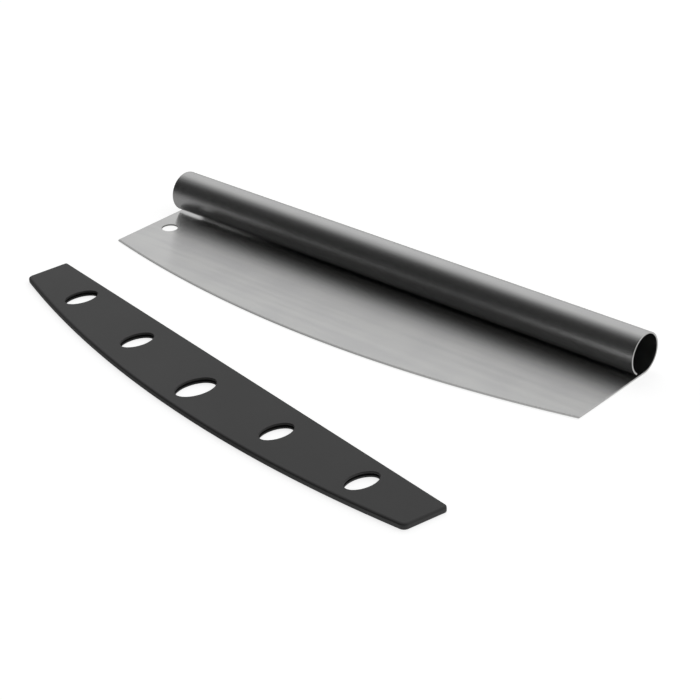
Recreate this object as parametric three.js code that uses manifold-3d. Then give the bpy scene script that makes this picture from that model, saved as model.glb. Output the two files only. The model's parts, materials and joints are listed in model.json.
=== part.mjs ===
// A rocker pizza cutter and its blade guard, in millimetres, lying on a table at z = 0.
// The cutter is one stainless sheet: a flat blade with a bowed cutting edge, and behind it a roll
// that makes an open tube for a handle. The guard is one plastic moulding with a slot for the blade.
// X runs along the handle, the cutting edge faces -Y, and the origin is under the cutter's middle.

import * as THREE from "three";
import { mergeVertices } from "three/addons/utils/BufferGeometryUtils.js";
import Module from "manifold-3d";

// Rolled sheet
const sheetThickness = 1.0;
const cutterLength = 350;
const handleDiameter = 25;
const slitGap = 1.4; // from the free lip of the roll down to the face of the blade
const bladeDepth = 82; // from the line where the roll begins to the middle of the cutting edge
const edgeBow = 20.6; // how far the cutting edge curves back at its two ends
const edgeLand = 0.4; // thickness left at the cutting edge
const grindWidth = 1.0; // width of the ground facet on each face of the edge

// Hang hole, near one end of the blade
const hangHoleDiameter = 10;
const hangHoleFromEnd = 13.3;
const hangHoleFromRoll = 29.2;

// Guard
const guardCover = 44.6; // depth of blade that the guard takes in at its middle
const guardWall = 1.2; // plastic over each face of the blade
const faceClearance = 0.1; // between each face of the blade and the slot
const edgeClearance = 0.5; // between the rim of the blade and the floor and ends of the slot
const rimWall = 2.0; // plastic behind the floor of the slot, at the middle
const rimEndWall = 3.0; // the same at the two ends, where the rim is flatter than the blade
const endWall = 1.6; // plastic past the ends of the slot, at the rim
const endLean = 0.9; // how far each end leans in on its way from the mouth to the rim
const guardCornerRadius = 1.5; // seen from above
const guardEdgeRadius = 0.9; // round the upper and lower face

// Oval holes through the guard, with their long axes across it
const holePitch = 66.1;
const sideHolePairs = 2;
const sideHoleWidth = 13.1;
const sideHoleLength = 21.1;
const sideHoleShift = 0.55; // from halfway between mouth and rim, towards the mouth
const middleHoleWidth = 16.4;
const middleHoleLength = 25.2;
const middleHoleShift = -3.5;

// Where the guard lies
const guardGap = 57.9; // from the middle of the cutting edge to the guard's mouth
const guardOffset = 2.0; // along the handle
const guardTurn = -10.77; // degrees

// Facets
const rollSegments = 24;
const guardSegments = 10;
const holeSegments = 32;
const filletSegments = 3;
const edgeFacetDegrees = 0.5;

const wasm = await Module();
wasm.setup();

const past = 2; // how far a cutting solid stands past the face that it cuts
const handleRadius = handleDiameter / 2;
const edgeRadius = arcRadius(cutterLength / 2, edgeBow);

// Radius of an arc that bows by a given height over a given half chord
function arcRadius(halfChord, bow) {
  return (halfChord ** 2 + bow ** 2) / (2 * bow);
}

// How far an arc has curved back at a distance from its middle
function arcDrop(radius, distance) {
  return radius - Math.sqrt(radius ** 2 - distance ** 2);
}

function solidFrom(geometry) {
  geometry.deleteAttribute("normal");
  geometry.deleteAttribute("uv");
  const merged = mergeVertices(geometry);
  return new wasm.Manifold(
    new wasm.Mesh({
      numProp: 3,
      vertProperties: merged.attributes.position.array,
      triVerts: new Uint32Array(merged.index.array),
    }),
  );
}

function geometryFrom(solid) {
  const { vertProperties, triVerts } = solid.getMesh();
  const geometry = new THREE.BufferGeometry();
  geometry.setAttribute("position", new THREE.BufferAttribute(vertProperties, 3));
  geometry.setIndex(new THREE.BufferAttribute(triVerts, 1));
  geometry.computeVertexNormals();
  return geometry;
}

// The bent sheet seen from its end: the flat run of the blade, then the roll, round to its free lip
function rolledSheet() {
  const bottom = -Math.PI / 2;
  const lip = 1.5 * Math.PI - Math.acos(1 - (sheetThickness + slitGap) / handleRadius);
  const profile = new THREE.Shape();
  profile.moveTo(-bladeDepth - past, 0);
  profile.lineTo(0, 0);
  profile.absarc(0, handleRadius, handleRadius, bottom, lip, false);
  profile.absarc(0, handleRadius, handleRadius - sheetThickness, lip, bottom, true);
  profile.lineTo(-bladeDepth - past, sheetThickness);
  const sheet = new THREE.ExtrudeGeometry(profile, {
    depth: cutterLength,
    curveSegments: rollSegments,
    bevelEnabled: false,
  });
  sheet.translate(0, 0, -cutterLength / 2);
  const alongX = new THREE.Vector3(1, 0, 0);
  const alongY = new THREE.Vector3(0, 1, 0);
  const alongZ = new THREE.Vector3(0, 0, 1);
  sheet.applyMatrix4(new THREE.Matrix4().makeBasis(alongY, alongZ, alongX));
  return solidFrom(sheet);
}

// A wide disc whose rim has the bow of the cutting edge and the ground facets of its two faces
function grindingDisc() {
  const grindDrop = (sheetThickness - edgeLand) / 2;
  const low = grindDrop;
  const high = grindDrop + edgeLand;
  const inner = edgeRadius - 2 * grindWidth; // each facet runs on as far again, clear of the sheet
  const profile = [
    new THREE.Vector2(0, low - 2 * grindDrop),
    new THREE.Vector2(inner, low - 2 * grindDrop),
    new THREE.Vector2(edgeRadius, low),
    new THREE.Vector2(edgeRadius, high),
    new THREE.Vector2(inner, high + 2 * grindDrop),
    new THREE.Vector2(inner, handleDiameter + past),
    new THREE.Vector2(0, handleDiameter + past),
  ];
  const disc = new THREE.LatheGeometry(profile, 360 / edgeFacetDegrees);
  disc.rotateX(Math.PI / 2);
  disc.translate(0, edgeRadius - bladeDepth, 0);
  return solidFrom(disc);
}

function hangHole() {
  const radius = hangHoleDiameter / 2;
  const hole = new THREE.CylinderGeometry(radius, radius, sheetThickness + 2 * past, holeSegments);
  hole.rotateX(Math.PI / 2);
  hole.translate(hangHoleFromEnd - cutterLength / 2, -hangHoleFromRoll, sheetThickness / 2);
  return solidFrom(hole);
}

function makeCutter() {
  const solid = rolledSheet().intersect(grindingDisc()).subtract(hangHole());
  const steel = new THREE.MeshStandardMaterial({ color: 0xa9a9a8, roughness: 0.32, metalness: 1 });
  const cutter = new THREE.Mesh(geometryFrom(solid), steel);
  cutter.name = "blade_with_rolled_handle";
  return cutter;
}

// The guard is drawn with its mouth along y = 0 and its rim towards -Y
const slotThickness = sheetThickness + 2 * faceClearance;
const guardThickness = slotThickness + 2 * guardWall;
const slotHalf = cutterLength / 2 + edgeClearance;
const slotDepth = guardCover + edgeClearance;
const slotRadius = edgeRadius + edgeClearance;
const slotEndDepth = slotDepth - arcDrop(slotRadius, slotHalf);
const rimHalf = slotHalf + endWall;
const mouthHalf = rimHalf + endLean;
const guardDepth = slotDepth + rimWall;
const guardEndDepth = slotEndDepth + rimEndWall;
const rimRadius = arcRadius(rimHalf, guardDepth - guardEndDepth);
const rimCentre = rimRadius - guardDepth;

// Centres of the two rounded corners at the +X end, and the directions in which their arcs end
function endCorners() {
  const radius = guardCornerRadius;
  const along = new THREE.Vector2(rimHalf - mouthHalf, -guardEndDepth).normalize();
  const inward = new THREE.Vector2(along.y, -along.x);
  const offset = new THREE.Vector2(mouthHalf, 0).addScaledVector(inward, radius);
  const atMouth = offset.clone().addScaledVector(along, (-radius - offset.y) / along.y);
  const fromCentre = offset.clone().sub(new THREE.Vector2(0, rimCentre));
  const half = fromCentre.dot(along);
  const reach = Math.sqrt(half ** 2 - fromCentre.lengthSq() + (rimRadius - radius) ** 2) - half;
  const atRim = offset.clone().addScaledVector(along, reach);
  return {
    atMouth,
    atRim,
    endAngle: Math.atan2(-inward.y, -inward.x),
    rimAngle: Math.atan2(atRim.y - rimCentre, atRim.x),
  };
}

function guardOutline() {
  const { atMouth, atRim, endAngle, rimAngle } = endCorners();
  const mirrored = (angle) => -Math.PI - angle;
  const up = Math.PI / 2;
  const outline = new THREE.Shape();
  outline.absarc(atMouth.x, atMouth.y, guardCornerRadius, up, endAngle, true);
  outline.absarc(atRim.x, atRim.y, guardCornerRadius, endAngle, rimAngle, true);
  outline.absarc(0, rimCentre, rimRadius, rimAngle, mirrored(rimAngle), true);
  outline.absarc(-atRim.x, atRim.y, guardCornerRadius, mirrored(rimAngle), mirrored(endAngle), true);
  outline.absarc(-atMouth.x, atMouth.y, guardCornerRadius, mirrored(endAngle), up, true);
  return outline;
}

function guardPlate() {
  const plate = new THREE.ExtrudeGeometry(guardOutline(), {
    depth: guardThickness - 2 * guardEdgeRadius,
    curveSegments: guardSegments,
    bevelThickness: guardEdgeRadius,
    bevelSize: guardEdgeRadius,
    bevelOffset: -guardEdgeRadius,
    bevelSegments: filletSegments,
  });
  plate.translate(0, 0, guardEdgeRadius);
  return solidFrom(plate);
}

// The room that the blade takes inside the guard, open at the mouth
function bladeSlot() {
  const centre = slotRadius - slotDepth;
  const endAngle = Math.atan2(-slotEndDepth - centre, slotHalf);
  const outline = new THREE.Shape();
  outline.moveTo(-slotHalf, past);
  outline.lineTo(slotHalf, past);
  outline.absarc(0, centre, slotRadius, endAngle, -Math.PI - endAngle, true);
  const slot = new THREE.ExtrudeGeometry(outline, {
    depth: slotThickness,
    curveSegments: guardSegments,
    bevelEnabled: false,
  });
  slot.translate(0, 0, guardWall);
  return solidFrom(slot);
}

function ovalHole(x, width, length, shift) {
  const halfway = (arcDrop(rimRadius, x) - guardDepth) / 2;
  const oval = new THREE.Shape();
  oval.absellipse(x, halfway + shift, width / 2, length / 2, 0, 2 * Math.PI);
  const hole = new THREE.ExtrudeGeometry(oval, {
    depth: guardThickness + 2 * past,
    curveSegments: holeSegments / 2,
    bevelEnabled: false,
  });
  hole.translate(0, 0, -past);
  return solidFrom(hole);
}

function makeGuard() {
  let solid = guardPlate().subtract(bladeSlot());
  solid = solid.subtract(ovalHole(0, middleHoleWidth, middleHoleLength, middleHoleShift));
  for (let pair = 1; pair <= sideHolePairs; pair++) {
    for (const side of [-1, 1]) {
      const x = side * pair * holePitch;
      solid = solid.subtract(ovalHole(x, sideHoleWidth, sideHoleLength, sideHoleShift));
    }
  }
  const plastic = new THREE.MeshStandardMaterial({ color: 0x262626, roughness: 0.6, metalness: 0 });
  const guard = new THREE.Mesh(geometryFrom(solid), plastic);
  guard.name = "blade_guard";
  return guard;
}

// The cutter lies flat on its blade, and the guard beside it, taken off and turned a little
const cutter = makeCutter();
cutter.position.y = (bladeDepth - handleRadius) / 2;

const guard = makeGuard();
guard.position.set(guardOffset, cutter.position.y - bladeDepth - guardGap, 0);
guard.rotation.z = THREE.MathUtils.degToRad(guardTurn);

const pizzaCutter = new THREE.Group();
pizzaCutter.add(cutter, guard);

export default pizzaCutter;
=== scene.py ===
import json
import math
import bmesh
import bpy
from mathutils import Matrix, Vector


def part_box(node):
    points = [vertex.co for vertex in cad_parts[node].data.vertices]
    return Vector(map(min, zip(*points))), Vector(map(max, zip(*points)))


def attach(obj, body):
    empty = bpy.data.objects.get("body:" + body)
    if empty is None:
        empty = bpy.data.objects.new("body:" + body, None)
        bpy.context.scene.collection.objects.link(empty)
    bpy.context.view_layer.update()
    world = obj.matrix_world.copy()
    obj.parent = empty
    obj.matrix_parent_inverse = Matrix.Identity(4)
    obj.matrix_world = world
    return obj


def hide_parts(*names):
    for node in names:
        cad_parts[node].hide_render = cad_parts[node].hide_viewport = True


# A rocker pizza cutter rolled from one steel sheet, and the plastic guard that slips over its edge.
# Sizes are in millimetres, and turn to metres where a mesh or a pattern is made.
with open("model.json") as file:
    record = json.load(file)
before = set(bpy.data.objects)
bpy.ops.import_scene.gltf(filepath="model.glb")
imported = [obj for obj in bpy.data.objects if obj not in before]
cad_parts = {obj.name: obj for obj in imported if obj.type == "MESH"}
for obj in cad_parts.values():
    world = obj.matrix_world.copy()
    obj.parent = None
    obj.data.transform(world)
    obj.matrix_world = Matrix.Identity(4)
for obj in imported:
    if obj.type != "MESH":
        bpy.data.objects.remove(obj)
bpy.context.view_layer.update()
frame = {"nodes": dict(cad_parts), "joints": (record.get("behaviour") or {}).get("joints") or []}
mm = 0.001
cutPast = 2.0  # how far a cutter stands past the face that it cuts
holeRimSteps = 4
print("frame loaded:", ", ".join(sorted(frame["nodes"])))


# sRGB hex to linear RGBA
def linearColour(hexColour):
    channels = [int(hexColour[i:i + 2], 16) / 255 for i in (1, 3, 5)]
    return [c / 12.92 if c <= 0.04045 else ((c + 0.055) / 1.055) ** 2.4 for c in channels] + [1.0]


# one node, with its settings, and its sockets given a value or a link
# a map range takes 0 value, 1 and 2 from, 3 and 4 to; a colour mix takes 6 and 7, and gives 2
def addNode(tree, kind, sockets=None, **settings):
    node = tree.nodes.new(kind)
    for name, value in settings.items():
        setattr(node, name, value)
    for socket, value in (sockets or {}).items():
        if isinstance(value, bpy.types.NodeSocket):
            tree.links.new(value, node.inputs[socket])
        else:
            node.inputs[socket].default_value = value
    return node


def newMaterial(name):
    material = bpy.data.materials.new(name)
    material.use_nodes = True
    material.node_tree.nodes.clear()
    return material, material.node_tree


# turns a bmesh drawn in millimetres into an object that stays at the frame's origin
def meshPiece(name, bm, materials, place=None):
    bmesh.ops.recalc_face_normals(bm, faces=bm.faces)
    mesh = bpy.data.meshes.new(name)
    bm.to_mesh(mesh)
    bm.free()
    mesh.transform(Matrix.Scale(mm, 4) @ (place or Matrix.Identity(4)))
    for material in materials:
        mesh.materials.append(material)
    piece = bpy.data.objects.new(name, mesh)
    bpy.context.scene.collection.objects.link(piece)
    return piece


# radius of an arc that bows by a height over half its chord
def arcRadius(halfChord, bow):
    return (halfChord ** 2 + bow ** 2) / (2 * bow)


# how far an arc has curved back at a distance from its middle
def arcDrop(radius, distance):
    return radius - math.sqrt(radius ** 2 - distance ** 2)


# quarter of a round edge: how far to come in from the face that ends there, and from the face beside it
def roundEdge(radius, steps):
    turns = [0.5 * math.pi * i / steps for i in range(steps + 1)]
    return [(radius * (1 - math.cos(a)), radius * (1 - math.sin(a))) for a in turns]


# a solid that cuts a hole through a plate and leaves its two rims rounded
def holeCutter(name, outline, thickness, rim, materialSlot, materials, place=None):
    lower = roundEdge(rim, holeRimSteps)
    upper = [(thickness - z, grow) for z, grow in reversed(lower)]
    levels = [(-cutPast, rim), *lower, *upper, (thickness + cutPast, rim)]
    bm = bmesh.new()
    rings = [[bm.verts.new((x, y, z)) for x, y in outline(grow)] for z, grow in levels]
    bridgeRings(bm, rings, materialSlot)
    for ring in (rings[0], rings[-1]):
        bm.faces.new(ring).material_index = materialSlot
    return meshPiece(name, bm, materials, place)


def bridgeRings(bm, rings, materialSlot):
    for near, far in zip(rings, rings[1:]):
        count = len(near)
        for i in range(count):
            j = (i + 1) % count
            bm.faces.new((near[i], near[j], far[j], far[i])).material_index = materialSlot


# takes the cutters out of a piece, then shades it: smooth, sharp at corners and where the finish changes
def carve(piece, cutters, sharpAngle):
    for cutter in cutters:
        cut = piece.modifiers.new(cutter.name, "BOOLEAN")
        cut.operation = "DIFFERENCE"
        cut.solver = "EXACT"
        cut.object = cutter
    bakeModifiers(piece)
    for cutter in cutters:
        bpy.data.objects.remove(cutter)
    mesh = piece.data
    mesh.polygons.foreach_set("use_smooth", [True] * len(mesh.polygons))
    mesh.set_sharp_from_angle(angle=math.radians(sharpAngle))
    finishes = {}
    for face in mesh.polygons:
        for edge in face.edge_keys:
            finishes.setdefault(edge, set()).add(face.material_index)
    for edge in mesh.edges:
        if len(finishes.get(edge.key, ())) > 1:
            edge.use_edge_sharp = True
    normals = piece.modifiers.new("flat faces keep their own normals", "WEIGHTED_NORMAL")
    normals.keep_sharp = True
    bakeModifiers(piece)


def bakeModifiers(piece):
    seen = piece.evaluated_get(bpy.context.evaluated_depsgraph_get())
    mesh = bpy.data.meshes.new_from_object(seen)
    piece.modifiers.clear()
    piece.data = mesh


# Stainless steel sheet, belt-brushed along its length before it was rolled: hair-fine lines smear
# reflections across the sheet, and leave them crisp along it.
brushedSteel = {
    "pale": "#cdcdcc",
    "deep": "#cacaca",
    "roughnessLow": 0.256,
    "roughnessHigh": 0.272,
    "wornFrom": 0.7,  # streak and cloud added up, from the deep tone to the pale one
    "wornTo": 1.3,
    "rollPaintedShade": "#f5f5f5",  # painted shade: a little darker where the sheet was bent
    "rollPaintedShadeOver": 10.0,
    "edgeTint": "#ebebeb",  # steel brightens less at a grazing angle than a perfect mirror
    "anisotropy": 0.92,
    "lineWidth": 1.6,  # a real brush line is near 0.05 mm, drawn wider so that it shows
    "lineLength": 32.0,
    "lineDepth": 0.014,
    "streakWidth": 4.0,
    "streakLength": 160.0,
    "cloudSize": 22.0,
    "bend": 1.3,  # slow rise of the blade towards the roll, in the shading only
    "bendFrom": 52.0,
    "bendTo": 2.0,
}


def makeBrushedSteel():
    s = brushedSteel
    material, tree = newMaterial("brushedStainlessSheet")
    unrolled = addNode(tree, "ShaderNodeUVMap", uv_map="unrolled").outputs[0]  # metres: across, along
    pattern = {}
    for name, width, length in (
        ("line", s["lineWidth"], s["lineLength"]),
        ("streak", s["streakWidth"], s["streakLength"]),
        ("cloud", s["cloudSize"], s["cloudSize"]),
    ):
        cells = (1 / (width * mm), 1 / (length * mm), 1)
        scaled = addNode(tree, "ShaderNodeVectorMath", {0: unrolled, 1: cells}, operation="MULTIPLY")
        noise = {"Vector": scaled.outputs[0], "Scale": 1.0, "Detail": 0.0}
        pattern[name] = addNode(tree, "ShaderNodeTexNoise", noise).outputs["Fac"]
    both = {0: pattern["streak"], 1: pattern["cloud"]}
    worn = addNode(tree, "ShaderNodeMath", both, operation="ADD").outputs[0]
    uneven = addNode(tree, "ShaderNodeMapRange", {0: worn, 1: s["wornFrom"], 2: s["wornTo"]}).outputs[0]
    rough = addNode(tree, "ShaderNodeMapRange", {0: uneven, 3: s["roughnessHigh"], 4: s["roughnessLow"]})
    tones = {0: uneven, 6: linearColour(s["deep"]), 7: linearColour(s["pale"])}
    tone = addNode(tree, "ShaderNodeMix", tones, data_type="RGBA").outputs[2]

    # distances across the sheet count from the line where the blade turns into the roll
    across = addNode(tree, "ShaderNodeSeparateXYZ", {0: unrolled}).outputs[0]
    # painted shade: the roll is coloured darker, fading in over its first millimetres from the line where
    # the blade turns into the roll
    bent = addNode(tree, "ShaderNodeMapRange", {0: across, 1: 0.0, 2: s["rollPaintedShadeOver"] * mm}).outputs[0]
    rollShade = {0: bent, 6: tone, 7: linearColour(s["rollPaintedShade"])}
    rolled = addNode(tree, "ShaderNodeMix", rollShade, data_type="RGBA", blend_type="MULTIPLY")

    rise = {0: across, 1: -s["bendFrom"] * mm, 2: -s["bendTo"] * mm}
    bend = addNode(tree, "ShaderNodeMapRange", rise, interpolation_type="SMOOTHSTEP")
    bowed = addNode(tree, "ShaderNodeBump", {"Height": bend.outputs[0], "Distance": s["bend"] * mm})
    lines = {"Height": pattern["line"], "Distance": s["lineDepth"] * mm, "Normal": bowed.outputs[0]}
    bump = addNode(tree, "ShaderNodeBump", lines)
    acrossLines = addNode(tree, "ShaderNodeTangent", direction_type="UV_MAP", uv_map="unrolled")
    surface = addNode(tree, "ShaderNodeBsdfPrincipled", {
        "Base Color": rolled.outputs[2],
        "Metallic": 1.0,
        "Roughness": rough.outputs[0],
        "Specular Tint": linearColour(s["edgeTint"]),
        "Anisotropic": s["anisotropy"],
        "Normal": bump.outputs[0],
        "Tangent": acrossLines.outputs[0],
    })
    addNode(tree, "ShaderNodeOutputMaterial", {"Surface": surface.outputs[0]})
    return material


# The same steel where the sheet was sheared and tumbled: a dull, finely pitted cut face.
shearedSteel = {
    "colour": "#a6a6a4",
    "pitSize": 0.35,
    "pitDepth": 0.01,
    "pitDetail": 2.0,
    "roughnessLow": 0.28,
    "roughnessHigh": 0.42,
}


def makeShearedSteel():
    s = shearedSteel
    material, tree = newMaterial("shearedStainlessEdge")
    place = addNode(tree, "ShaderNodeTexCoord").outputs["Object"]
    noise = {"Vector": place, "Scale": 1 / (s["pitSize"] * mm), "Detail": s["pitDetail"]}
    pits = addNode(tree, "ShaderNodeTexNoise", noise).outputs["Fac"]
    rough = addNode(tree, "ShaderNodeMapRange", {0: pits, 3: s["roughnessLow"], 4: s["roughnessHigh"]})
    bump = addNode(tree, "ShaderNodeBump", {"Height": pits, "Distance": s["pitDepth"] * mm})
    surface = addNode(tree, "ShaderNodeBsdfPrincipled", {
        "Base Color": linearColour(s["colour"]),
        "Metallic": 1.0,
        "Roughness": rough.outputs[0],
        "Normal": bump.outputs[0],
    })
    addNode(tree, "ShaderNodeOutputMaterial", {"Surface": surface.outputs[0]})
    return material


# The same steel at the cutting edge, ground on a fine wheel: a satin line a little darker than the
# blade's face, with short scores across the bevel.
groundSteel = {
    "colour": "#b4b4b3",
    "scoreWidth": 0.5,
    "scoreLength": 12.0,
    "scoreDepth": 0.004,
    "scoreDetail": 2.0,
    "roughnessLow": 0.2,
    "roughnessHigh": 0.34,
}


def makeGroundSteel():
    s = groundSteel
    material, tree = newMaterial("groundStainlessEdge")
    place = addNode(tree, "ShaderNodeTexCoord").outputs["Object"]
    cells = (1 / (s["scoreWidth"] * mm), 1 / (s["scoreLength"] * mm), 1)
    scaled = addNode(tree, "ShaderNodeVectorMath", {0: place, 1: cells}, operation="MULTIPLY")
    noise = {"Vector": scaled.outputs[0], "Scale": 1.0, "Detail": s["scoreDetail"]}
    scores = addNode(tree, "ShaderNodeTexNoise", noise).outputs["Fac"]
    rough = addNode(tree, "ShaderNodeMapRange", {0: scores, 3: s["roughnessLow"], 4: s["roughnessHigh"]})
    bump = addNode(tree, "ShaderNodeBump", {"Height": scores, "Distance": s["scoreDepth"] * mm})
    surface = addNode(tree, "ShaderNodeBsdfPrincipled", {
        "Base Color": linearColour(s["colour"]),
        "Metallic": 1.0,
        "Roughness": rough.outputs[0],
        "Normal": bump.outputs[0],
    })
    addNode(tree, "ShaderNodeOutputMaterial", {"Surface": surface.outputs[0]})
    return material


# Black polypropylene, moulded in a spark-eroded tool: an even matte grain with a soft sheen.
mouldedPlastic = {
    "dark": "#242424",
    "light": "#292929",
    "grainSize": 0.45,
    "grainDepth": 0.012,
    "grainDetail": 2.0,
    "cloudSize": 60.0,
    "cloudDetail": 4.0,
    "roughnessLow": 0.5,
    "roughnessHigh": 0.58,
    "ior": 1.49,
}


def makeMouldedPlastic():
    s = mouldedPlastic
    material, tree = newMaterial("mouldedBlackPolypropylene")
    place = addNode(tree, "ShaderNodeTexCoord").outputs["Object"]
    pattern = {}
    for name in ("grain", "cloud"):
        noise = {"Vector": place, "Scale": 1 / (s[name + "Size"] * mm), "Detail": s[name + "Detail"]}
        pattern[name] = addNode(tree, "ShaderNodeTexNoise", noise).outputs["Fac"]
    tones = {0: pattern["cloud"], 6: linearColour(s["dark"]), 7: linearColour(s["light"])}
    colour = addNode(tree, "ShaderNodeMix", tones, data_type="RGBA")
    gloss = {0: pattern["cloud"], 3: s["roughnessLow"], 4: s["roughnessHigh"]}
    rough = addNode(tree, "ShaderNodeMapRange", gloss)
    bump = addNode(tree, "ShaderNodeBump", {"Height": pattern["grain"], "Distance": s["grainDepth"] * mm})
    surface = addNode(tree, "ShaderNodeBsdfPrincipled", {
        "Base Color": colour.outputs[2],
        "Roughness": rough.outputs[0],
        "IOR": s["ior"],
        "Normal": bump.outputs[0],
    })
    addNode(tree, "ShaderNodeOutputMaterial", {"Surface": surface.outputs[0]})
    return material


# The rolled sheet: blade in front, tube handle behind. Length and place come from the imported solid.
sheet = {
    "thickness": 1.0,
    "handleDiameter": 25.0,
    "slitGap": 1.4,  # free lip of the roll to the blade's face
    "edgeBow": 20.6,
    "edgeLand": 0.4,
    "landNormal": (0.8, 0.6),  # way out at the land's two corners, forward and up or down
    "grindWidth": 1.0,
    "hangHoleDiameter": 10.0,
    "hangHoleFromEnd": 13.3,
    "hangHoleFromRoll": 29.2,
    "edgeBreak": 0.22,  # rounding left on every sheared edge
    "innerShift": 500.0,  # along the brushed pattern, so that the inner face differs from the outer
    "columns": 175,
    "bladeRows": 14,
    "rollSteps": 108,
    "breakSteps": 3,
    "holeSteps": 64,
    "sharpAngle": 33.0,
}
sheetLow, sheetHigh = [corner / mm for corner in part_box("blade_with_rolled_handle")]
sheetHalf = (sheetHigh.x - sheetLow.x) / 2
rollRadius = sheet["handleDiameter"] / 2
rollY = sheetHigh.y - rollRadius  # the line where the blade turns into the roll
edgeRadius = arcRadius(sheetHalf, sheet["edgeBow"])
edgeCentreY = sheetLow.y + edgeRadius


# one section of the sheet, from the cutting edge along the outer face to the lip and back along the inner
# face: y, z, outward normal, and how far across the unrolled sheet
def sheetSection(x):
    s = sheet
    thick, ease = s["thickness"], s["edgeBreak"]
    drop = (thick - s["edgeLand"]) / 2
    landOut, landUp = s["landNormal"]
    edgeY = edgeCentreY - math.sqrt(edgeRadius ** 2 - x ** 2)
    facetY = edgeCentreY - math.sqrt((edgeRadius - s["grindWidth"]) ** 2 - x ** 2)
    down = -0.5 * math.pi
    lip = 1.5 * math.pi - math.acos(1 - (thick + s["slitGap"]) / rollRadius)

    # one face, outer (1) or inner (-1): ground facet, blade, roll, and the broken edge of the lip
    def faceRun(radius, side):
        z = rollRadius - radius
        run = [(edgeY, z + side * drop, -landOut, -side * landUp, edgeY - rollY)]
        for i in range(s["bladeRows"]):
            y = facetY + (rollY - facetY) * i / s["bladeRows"]
            run.append((y, z, 0.0, -side, y - rollY))
        for i in range(s["rollSteps"] + 1):
            angle = down + (lip - ease / radius - down) * i / s["rollSteps"]
            cy, cz = math.cos(angle), math.sin(angle)
            across = radius * (angle - down)
            run.append((rollY + radius * cy, rollRadius + radius * cz, side * cy, side * cz, across))
        cy, cz = math.cos(lip), math.sin(lip)
        end = radius - side * ease
        run.append((rollY + end * cy, rollRadius + end * cz, -cz, cy, radius * (lip - down)))
        return run

    return faceRun(rollRadius, 1) + faceRun(rollRadius - thick, -1)[::-1]


def makeSheet(materials):
    s = sheet
    cutFinish, groundFinish = 1, 2  # the brushed finish is 0, which new faces have
    bm = bmesh.new()
    unrolled = bm.loops.layers.uv.new("unrolled")
    ends = [(sheetHalf - back, inset) for back, inset in roundEdge(s["edgeBreak"], s["breakSteps"])]
    between = [sheetHalf * (1 - 2 * i / s["columns"]) for i in range(1, s["columns"])]
    stations = ends + [(x, 0.0) for x in between] + [(-x, inset) for x, inset in reversed(ends)]
    rings, flatPlace = [], {}
    for x, inset in stations:
        section = sheetSection(x)
        ring = [bm.verts.new((x, y - inset * ny, z - inset * nz)) for y, z, ny, nz, across in section]
        for i, vert in enumerate(ring):
            along = x if 2 * i < len(ring) else x + s["innerShift"]
            flatPlace[vert] = (section[i][4] * mm, along * mm)
        rings.append(ring)
    count = len(rings[0])
    edgeRows = (0, count - 2, count - 1)  # the two facets and the land between them
    lipRows = range(count // 2 - 2, count // 2 + 1)
    for near, far in zip(rings, rings[1:]):
        for i in range(count):
            j = (i + 1) % count
            face = bm.faces.new((near[i], near[j], far[j], far[i]))
            if i in edgeRows:
                face.material_index = groundFinish
            elif i in lipRows:
                face.material_index = cutFinish
    for ring in (rings[0], rings[-1]):
        for i in range(count // 2 - 1):
            face = bm.faces.new((ring[i], ring[i + 1], ring[count - 2 - i], ring[count - 1 - i]))
            face.material_index = cutFinish
    for face in bm.faces:
        for loop in face.loops:
            loop[unrolled].uv = flatPlace[loop.vert]
    piece = meshPiece("rolledSteelSheet", bm, materials)

    holeX = sheetLow.x + s["hangHoleFromEnd"]
    holeY = rollY - s["hangHoleFromRoll"]

    def hangHole(grow):
        radius = s["hangHoleDiameter"] / 2 + grow
        turns = [2 * math.pi * i / s["holeSteps"] for i in range(s["holeSteps"])]
        return [(holeX + radius * math.cos(a), holeY + radius * math.sin(a)) for a in turns]

    hole = holeCutter("hangHole", hangHole, s["thickness"], s["edgeBreak"], cutFinish, materials)
    carve(piece, [hole], s["sharpAngle"])
    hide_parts("blade_with_rolled_handle")
    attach(piece, "cutter")
    return piece


rolledSheet = makeSheet([makeBrushedSteel(), makeShearedSteel(), makeGroundSteel()])
print("rolled sheet:", len(rolledSheet.data.polygons), "faces")


# The guard: a plate with a straight mouth and a bowed rim, slotted for the blade and pierced by ovals.
# It is drawn with its mouth along y = 0; the way that it pulls off gives its turn.
guard = {
    "mouthFromEdge": 57.9,  # from the middle of the cutting edge
    "shift": 2.0,
    "mouthHalf": 178.0,
    "rimHalf": 177.1,
    "depth": 47.1,
    "endDepth": 27.4,
    "mouthCorner": 1.9,
    "rimCorner": 3.8,
    "lowerEdge": 0.9,
    "upperEdge": 1.0,
    "upperReach": 1.5,  # the upper edge falls off slowly along the rim and the ends
    "upperMouth": 0.3,  # and stays crisp along the mouth
    "slotThickness": 1.2,
    "slotHalf": 175.5,
    "slotDepth": 45.1,
    "slotEndDepth": 24.4,
    "holePitch": 66.1,
    "holePlaces": (-2, -1, 0, 1, 2),  # in pitches from the middle
    "sideHole": (13.1, 21.1, 0.55),  # width, length, shift towards the mouth
    "middleHole": (16.4, 25.2, -3.5),
    "holeRim": 0.4,
    "partingRidge": 0.03,  # where the two halves of the mould meet, halfway up the side
    "partingWidth": 0.12,
    "rimSteps": 180,
    "cornerSteps": 8,
    "edgeSteps": 6,
    "holeSteps": 72,
    "sharpAngle": 35.0,
}
guardLow, guardHigh = [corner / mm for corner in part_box("blade_guard")]
guardThickness = guardHigh.z - guardLow.z
pullAxis = Vector(frame["joints"][0]["axis"])
guardPlace = (
    Matrix.Translation((guard["shift"], sheetLow.y - guard["mouthFromEdge"], guardLow.z))
    @ Matrix.Rotation(math.atan2(-pullAxis.x, pullAxis.y), 4, "Z")
)
rimRadius = arcRadius(guard["rimHalf"], guard["depth"] - guard["endDepth"])
rimCentreY = rimRadius - guard["depth"]


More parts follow.
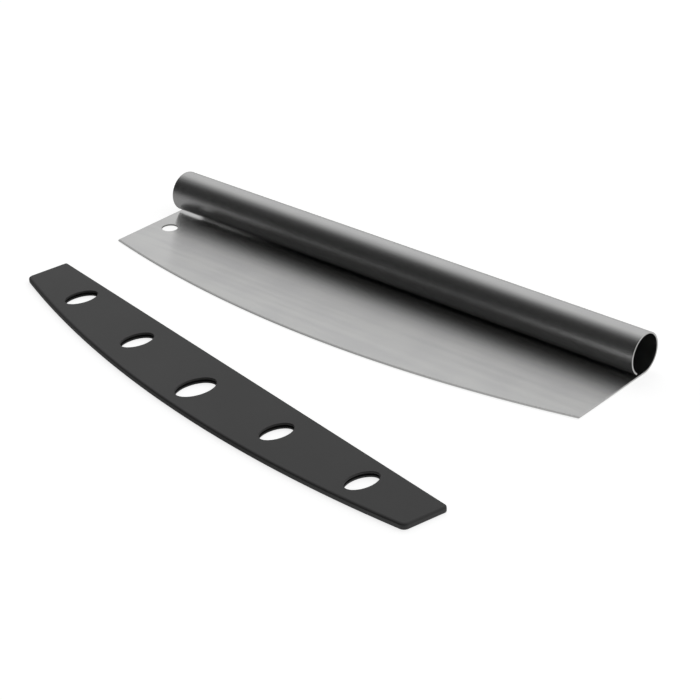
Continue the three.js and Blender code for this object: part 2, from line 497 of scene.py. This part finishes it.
# the guard's outline seen from above, brought in by an inset, and at the mouth by another
def guardOutline(inset, mouthInset):
    g = guard
    mouthCorner, rimCorner, steps = g["mouthCorner"], g["rimCorner"], g["cornerSteps"]
    along = Vector((g["rimHalf"] - g["mouthHalf"], -g["endDepth"])).normalized()
    inward = Vector((along.y, -along.x))
    mouthEnd = Vector((g["mouthHalf"], 0))

    # middles of the two rounded corners at the right end
    mouthLine = mouthEnd + inward * mouthCorner
    atMouth = mouthLine + along * ((-mouthCorner - mouthLine.y) / along.y)
    rimLine = mouthEnd + inward * rimCorner
    fromCentre = rimLine - Vector((0, rimCentreY))
    half = fromCentre.dot(along)
    reach = math.sqrt(half ** 2 - fromCentre.length_squared + (rimRadius - rimCorner) ** 2) - half
    atRim = rimLine + along * reach

    endAngle = math.atan2(-inward.y, -inward.x)
    rimAngle = math.atan2(atRim.y - rimCentreY, atRim.x)
    right = []
    for centre, radius, start, end in (
        (atMouth, mouthCorner - inset, 0.5 * math.pi, endAngle),
        (atRim, rimCorner - inset, endAngle, rimAngle),
    ):
        turns = [start + (end - start) * i / steps for i in range(steps + 1)]
        right += [(centre.x + radius * math.cos(a), centre.y + radius * math.sin(a)) for a in turns]
    radius = rimRadius - inset
    sweep = [rimAngle + (-math.pi - 2 * rimAngle) * i / g["rimSteps"] for i in range(1, g["rimSteps"])]
    rim = [(radius * math.cos(a), rimCentreY + radius * math.sin(a)) for a in sweep]
    whole = right + rim + [(-x, y) for x, y in reversed(right)]
    return [(x, y + (inset - mouthInset) * (1 + y / g["depth"])) for x, y in whole]


def slotCutter(materials):
    g = guard
    radius = arcRadius(g["slotHalf"], g["slotDepth"] - g["slotEndDepth"])
    low = (guardThickness - g["slotThickness"]) / 2
    xs = [g["slotHalf"] * (1 - 2 * i / g["rimSteps"]) for i in range(g["rimSteps"] + 1)]
    outline = [(x, arcDrop(radius, x) - g["slotDepth"]) for x in xs]
    outline += [(-g["slotHalf"], cutPast), (g["slotHalf"], cutPast)]
    bm = bmesh.new()
    rings = [[bm.verts.new((x, y, z)) for x, y in outline] for z in (low, low + g["slotThickness"])]
    bridgeRings(bm, rings, 0)
    for ring in rings:
        bm.faces.new(ring)
    return meshPiece("bladeSlot", bm, materials, guardPlace)


def makeGuard(material):
    g = guard
    middle = guardThickness / 2
    lower = [(z, inset, inset) for z, inset in roundEdge(g["lowerEdge"], g["edgeSteps"])]
    parting = []
    for side in (-1, 0, 1):
        ridge = g["partingRidge"] * (abs(side) - 1)
        parting.append((middle + side * g["partingWidth"], ridge, ridge))
    upper = [
        (guardThickness - z * g["upperEdge"], inset * g["upperReach"], inset * g["upperMouth"])
        for z, inset in roundEdge(1.0, g["edgeSteps"])
    ]
    levels = lower + parting + upper[::-1]
    bm = bmesh.new()
    rings = [[bm.verts.new((x, y, z)) for x, y in guardOutline(*insets)] for z, *insets in levels]
    bridgeRings(bm, rings, 0)
    for ring in (rings[0], rings[-1]):
        bm.faces.new(ring)
    piece = meshPiece("mouldedBladeGuard", bm, [material], guardPlace)

    def ovalHole(place):
        width, length, shift = g["sideHole"] if place else g["middleHole"]
        x = place * g["holePitch"]
        y = (arcDrop(rimRadius, x) - g["depth"]) / 2 + shift
        turns = [2 * math.pi * i / g["holeSteps"] for i in range(g["holeSteps"])]

        def outline(grow):
            halfX, halfY = width / 2 + grow, length / 2 + grow
            return [(x + halfX * math.cos(a), y + halfY * math.sin(a)) for a in turns]

        name = f"ovalHole{place}"
        return holeCutter(name, outline, guardThickness, g["holeRim"], 0, [material], guardPlace)

    cutters = [slotCutter([material])] + [ovalHole(place) for place in g["holePlaces"]]
    carve(piece, cutters, g["sharpAngle"])
    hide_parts("blade_guard")
    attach(piece, "guard")
    return piece


mouldedGuard = makeGuard(makeMouldedPlastic())
print("guard:", len(mouldedGuard.data.polygons), "faces")


# A pale floor, and a room that is white behind the object and grey in front of it, with a black flag on
# the left that the steel mirrors. Directions into the room are parts of a unit vector. The floor is
# lifted to white for the camera by a glow, and the steel sees a share of that lift, which differs by
# place:
# a painted glow on the floor, faint in most places, rising to the right, in a pool and in a band, that the
# steel mirrors as painted reflections.
studio = {
    "azimuth": 41.752,
    "elevation": 28.778,
    "roll": -1.745,
    "distance": 1155.1,
    "target": (31.21, -43.87, 0.0),
    "lens": 106.13,
    "sensor": 36.0,
    "floorHalf": 600.0,
    "floorDrop": 0.05,
    "floor": "#b0b0b0",
    "floorLift": 0.775,
    "dimInMetal": 0.03,  # painted glow: share of that lift that the steel sees
    "rightInMetal": 1.0,  # painted glow, the same to the right, along X
    "rightFrom": -50.0,
    "rightPast": 190.0,
    "poolInMetal": 0.24,  # and a painted pool of glow at the left end of the roll
    "poolMiddle": (-190.0, 10.0, 0.0),
    "poolFrom": 80.0,
    "poolPast": 45.0,
    "bandInMetal": 0.38,  # and a painted band of glow along the guard
    "bandMiddle": -150.0,
    "bandFrom": 72.0,
    "bandPast": 40.0,
    "back": 0.96,
    "front": 0.3,
    "flag": 0.031,
    "frontUntil": -0.24,  # along Y
    "backFrom": 0.53,
    "flagMiddle": -0.583,  # along X
    "flagHalf": 0.2,
    "flagFade": 0.42,
    "lampSize": 800.0,
    "lampPlace": (-380.0, 480.0, 1050.0),
    "lampPower": 1.2,
}


def makeCamera():
    s = studio
    azimuth, elevation, roll = [math.radians(s[name]) for name in ("azimuth", "elevation", "roll")]
    flat = math.cos(elevation)
    back = Vector((math.sin(azimuth) * flat, -math.cos(azimuth) * flat, math.sin(elevation)))
    right = Vector((math.cos(azimuth), math.sin(azimuth), 0))
    up = back.cross(right)
    tiltedRight = math.cos(roll) * right + math.sin(roll) * up
    tiltedUp = back.cross(tiltedRight)
    data = bpy.data.cameras.new("camera")
    data.lens = s["lens"]
    data.sensor_width = s["sensor"]
    camera = bpy.data.objects.new("camera", data)
    spot = (Vector(s["target"]) + back * s["distance"]) * mm
    turn = Matrix((tiltedRight, tiltedUp, back)).transposed().to_4x4()
    camera.matrix_world = Matrix.Translation(spot) @ turn
    bpy.context.scene.collection.objects.link(camera)
    bpy.context.scene.camera = camera


# how far a surface counts as background: wholly for the camera, in part where it is mirrored
def asBackground(tree, inMetal):
    path = addNode(tree, "ShaderNodeLightPath").outputs
    either = {0: path["Is Glossy Ray"], 1: path["Is Transmission Ray"]}
    mirrored = addNode(tree, "ShaderNodeMath", either, operation="MAXIMUM")
    share = addNode(tree, "ShaderNodeMath", {0: mirrored.outputs[0], 1: inMetal}, operation="MULTIPLY")
    both = {0: path["Is Camera Ray"], 1: share.outputs[0]}
    return addNode(tree, "ShaderNodeMath", both, operation="MAXIMUM").outputs[0]


def makeFloor():
    s = studio
    half = s["floorHalf"]
    bm = bmesh.new()
    corners = [(-half, -half), (half, -half), (half, half), (-half, half)]
    bm.faces.new([bm.verts.new((x, y, -s["floorDrop"])) for x, y in corners])
    material, tree = newMaterial("paleFloor")
    place = addNode(tree, "ShaderNodeNewGeometry").outputs["Position"]
    right, depth = addNode(tree, "ShaderNodeSeparateXYZ", {0: place}).outputs[:2]
    poolMiddle = Vector(s["poolMiddle"]) * mm
    fromPool = addNode(tree, "ShaderNodeVectorMath", {0: place, 1: poolMiddle}, operation="DISTANCE")
    fromBand = addNode(tree, "ShaderNodeMath", {0: depth, 1: s["bandMiddle"] * mm}, operation="SUBTRACT")
    offBand = addNode(tree, "ShaderNodeMath", {0: fromBand.outputs[0]}, operation="ABSOLUTE")
    # painted glow: the share of the floor's lift that the steel mirrors is raised to the right, in a pool
    # and in a band
    inMetal = s["dimInMetal"]
    for way, away in (("right", right), ("pool", fromPool.outputs["Value"]), ("band", offBand.outputs[0])):
        rise = {0: away, 1: s[way + "From"] * mm, 2: s[way + "Past"] * mm, 3: 0.0, 4: s[way + "InMetal"]}
        share = addNode(tree, "ShaderNodeMapRange", rise, interpolation_type="SMOOTHSTEP").outputs[0]
        inMetal = addNode(tree, "ShaderNodeMath", {0: inMetal, 1: share}, operation="MAXIMUM").outputs[0]
    seen = asBackground(tree, inMetal)
    lift = addNode(tree, "ShaderNodeMath", {0: seen, 1: s["floorLift"]}, operation="MULTIPLY")
    paint = addNode(tree, "ShaderNodeBsdfDiffuse", {"Color": linearColour(s["floor"])})
    glow = addNode(tree, "ShaderNodeEmission", {"Strength": lift.outputs[0]})
    both = addNode(tree, "ShaderNodeAddShader", {0: paint.outputs[0], 1: glow.outputs[0]})
    addNode(tree, "ShaderNodeOutputMaterial", {"Surface": both.outputs[0]})
    floor = meshPiece("floor", bm, [material])


def makeLight():
    s = studio
    world = bpy.data.worlds.new("studio")
    world.use_nodes = True
    tree = world.node_tree
    tree.nodes.clear()
    bpy.context.scene.world = world
    direction = addNode(tree, "ShaderNodeTexCoord").outputs["Generated"]
    right, depth = addNode(tree, "ShaderNodeSeparateXYZ", {0: direction}).outputs[:2]
    fromFlag = addNode(tree, "ShaderNodeMath", {0: right, 1: s["flagMiddle"]}, operation="SUBTRACT")
    offFlag = addNode(tree, "ShaderNodeMath", {0: fromFlag.outputs[0]}, operation="ABSOLUTE")
    edge = {0: offFlag.outputs[0], 1: s["flagHalf"], 2: s["flagFade"], 3: s["flag"], 4: s["front"]}
    front = addNode(tree, "ShaderNodeMapRange", edge, interpolation_type="SMOOTHSTEP")
    fall = {0: depth, 1: s["frontUntil"], 2: s["backFrom"], 3: front.outputs[0], 4: s["back"]}
    level = addNode(tree, "ShaderNodeMapRange", fall, interpolation_type="SMOOTHSTEP")
    plain = (1, 1, 1, 1)
    room = addNode(tree, "ShaderNodeBackground", {"Color": plain, "Strength": level.outputs[0]})
    white = addNode(tree, "ShaderNodeBackground", {"Color": plain, "Strength": 1.0})
    toCamera = addNode(tree, "ShaderNodeLightPath").outputs["Is Camera Ray"]
    seen = addNode(tree, "ShaderNodeMixShader", {0: toCamera, 1: room.outputs[0], 2: white.outputs[0]})
    addNode(tree, "ShaderNodeOutputWorld", {"Surface": seen.outputs[0]})
    lamp = bpy.data.lights.new("softbox", "AREA")
    lamp.size = s["lampSize"] * mm
    lamp.energy = s["lampPower"]
    softbox = bpy.data.objects.new("softbox", lamp)
    softbox.location = Vector(s["lampPlace"]) * mm
    softbox.rotation_euler = Vector(s["lampPlace"]).to_track_quat("Z", "Y").to_euler()
    softbox.visible_glossy = False  # the steel shows the white and dark of the room, not the lamp
    bpy.context.scene.collection.objects.link(softbox)


makeCamera()
makeFloor()
makeLight()
bpy.context.scene.view_settings.view_transform = "Standard"
print("studio ready")
